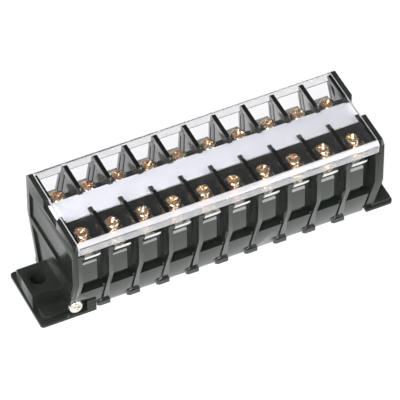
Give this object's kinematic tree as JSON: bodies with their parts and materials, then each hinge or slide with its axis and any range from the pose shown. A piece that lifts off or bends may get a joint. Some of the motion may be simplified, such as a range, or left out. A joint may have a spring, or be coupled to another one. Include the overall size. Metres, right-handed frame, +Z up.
{
  "type": "barrier terminal strip",
  "caption": "Row of moulded terminal poles between barriers, each joining a front screw to a back one, with end feet, a marking strip and a clear cover.",
  "frame": {"origin": "middle of the underside, on the surface that the strip is screwed to", "axes": "+X along the row towards the right end, +Y to the back, +Z up; the clamp screw is at -X, -Y"},
  "size_m": [0.1568, 0.0458, 0.0455],
  "materials": {
    "black_moulding": "black moulded thermoset with a slight sheen",
    "clear_plastic": "clear polished extrusion",
    "white_plastic": "smooth white sheet",
    "yellow_zinc": "yellow zinc plating with an iridescent tint",
    "plated_plate": "bright plated sheet",
    "zinc_screw": "bright zinc plating",
    "rod_steel": "drawn steel"
  },
  "bodies": {
    "row": {"left_bracket": "black_moulding", "right_bracket": "black_moulding", "front_tie_rod": "rod_steel", "back_tie_rod": "rod_steel", "pole_1": "black_moulding", "terminal_plate_1": "plated_plate", "pole_2": "black_moulding", "terminal_plate_2": "plated_plate", "pole_3": "black_moulding", "terminal_plate_3": "plated_plate", "pole_4": "black_moulding", "terminal_plate_4": "plated_plate", "pole_5": "black_moulding", "terminal_plate_5": "plated_plate", "pole_6": "black_moulding", "terminal_plate_6": "plated_plate", "pole_7": "black_moulding", "terminal_plate_7": "plated_plate", "pole_8": "black_moulding", "terminal_plate_8": "plated_plate", "pole_9": "black_moulding", "terminal_plate_9": "plated_plate", "pole_10": "black_moulding", "terminal_plate_10": "plated_plate"},
    "front_screw_1": {"front_screw_1": "yellow_zinc"},
    "front_screw_2": {"front_screw_2": "yellow_zinc"},
    "front_screw_3": {"front_screw_3": "yellow_zinc"},
    "front_screw_4": {"front_screw_4": "yellow_zinc"},
    "front_screw_5": {"front_screw_5": "yellow_zinc"},
    "front_screw_6": {"front_screw_6": "yellow_zinc"},
    "front_screw_7": {"front_screw_7": "yellow_zinc"},
    "front_screw_8": {"front_screw_8": "yellow_zinc"},
    "front_screw_9": {"front_screw_9": "yellow_zinc"},
    "front_screw_10": {"front_screw_10": "yellow_zinc"},
    "back_screw_1": {"back_screw_1": "yellow_zinc"},
    "back_screw_2": {"back_screw_2": "yellow_zinc"},
    "back_screw_3": {"back_screw_3": "yellow_zinc"},
    "back_screw_4": {"back_screw_4": "yellow_zinc"},
    "back_screw_5": {"back_screw_5": "yellow_zinc"},
    "back_screw_6": {"back_screw_6": "yellow_zinc"},
    "back_screw_7": {"back_screw_7": "yellow_zinc"},
    "back_screw_8": {"back_screw_8": "yellow_zinc"},
    "back_screw_9": {"back_screw_9": "yellow_zinc"},
    "back_screw_10": {"back_screw_10": "yellow_zinc"},
    "cover": {"cover": "clear_plastic"},
    "marking_strip": {"marking_strip": "white_plastic"},
    "clamp_screw": {"clamp_screw": "zinc_screw"}
  },
  "joints": [
    {"name": "front_screw_1_lift", "type": "slide", "parent": "row", "child": "front_screw_1", "axis": [0, 0, 1], "range_m": [0, 0.0035]},
    {"name": "front_screw_2_lift", "type": "slide", "parent": "row", "child": "front_screw_2", "axis": [0, 0, 1], "range_m": [0, 0.0035]},
    {"name": "front_screw_3_lift", "type": "slide", "parent": "row", "child": "front_screw_3", "axis": [0, 0, 1], "range_m": [0, 0.0035]},
    {"name": "front_screw_4_lift", "type": "slide", "parent": "row", "child": "front_screw_4", "axis": [0, 0, 1], "range_m": [0, 0.0035]},
    {"name": "front_screw_5_lift", "type": "slide", "parent": "row", "child": "front_screw_5", "axis": [0, 0, 1], "range_m": [0, 0.0035]},
    {"name": "front_screw_6_lift", "type": "slide", "parent": "row", "child": "front_screw_6", "axis": [0, 0, 1], "range_m": [0, 0.0035]},
    {"name": "front_screw_7_lift", "type": "slide", "parent": "row", "child": "front_screw_7", "axis": [0, 0, 1], "range_m": [0, 0.0035]},
    {"name": "front_screw_8_lift", "type": "slide", "parent": "row", "child": "front_screw_8", "axis": [0, 0, 1], "range_m": [0, 0.0035]},
    {"name": "front_screw_9_lift", "type": "slide", "parent": "row", "child": "front_screw_9", "axis": [0, 0, 1], "range_m": [0, 0.0035]},
    {"name": "front_screw_10_lift", "type": "slide", "parent": "row", "child": "front_screw_10", "axis": [0, 0, 1], "range_m": [0, 0.0035]},
    {"name": "back_screw_1_lift", "type": "slide", "parent": "row", "child": "back_screw_1", "axis": [0, 0, 1], "range_m": [0, 0.0035]},
    {"name": "back_screw_2_lift", "type": "slide", "parent": "row", "child": "back_screw_2", "axis": [0, 0, 1], "range_m": [0, 0.0035]},
    {"name": "back_screw_3_lift", "type": "slide", "parent": "row", "child": "back_screw_3", "axis": [0, 0, 1], "range_m": [0, 0.0035]},
    {"name": "back_screw_4_lift", "type": "slide", "parent": "row", "child": "back_screw_4", "axis": [0, 0, 1], "range_m": [0, 0.0035]},
    {"name": "back_screw_5_lift", "type": "slide", "parent": "row", "child": "back_screw_5", "axis": [0, 0, 1], "range_m": [0, 0.0035]},
    {"name": "back_screw_6_lift", "type": "slide", "parent": "row", "child": "back_screw_6", "axis": [0, 0, 1], "range_m": [0, 0.0035]},
    {"name": "back_screw_7_lift", "type": "slide", "parent": "row", "child": "back_screw_7", "axis": [0, 0, 1], "range_m": [0, 0.0035]},
    {"name": "back_screw_8_lift", "type": "slide", "parent": "row", "child": "back_screw_8", "axis": [0, 0, 1], "range_m": [0, 0.0035]},
    {"name": "back_screw_9_lift", "type": "slide", "parent": "row", "child": "back_screw_9", "axis": [0, 0, 1], "range_m": [0, 0.0035]},
    {"name": "back_screw_10_lift", "type": "slide", "parent": "row", "child": "back_screw_10", "axis": [0, 0, 1], "range_m": [0, 0.0035]},
    {"name": "cover_lift", "type": "slide", "parent": "row", "child": "cover", "axis": [0, 0, 1], "range_m": [0, 0.03]},
    {"name": "strip_slide", "type": "slide", "parent": "row", "child": "marking_strip", "axis": [1, 0, 0], "range_m": [0, 0.12]},
    {"name": "clamp_screw_out", "type": "slide", "parent": "row", "child": "clamp_screw", "axis": [0, -1, 0], "range_m": [0, 0.003]}
  ]
}
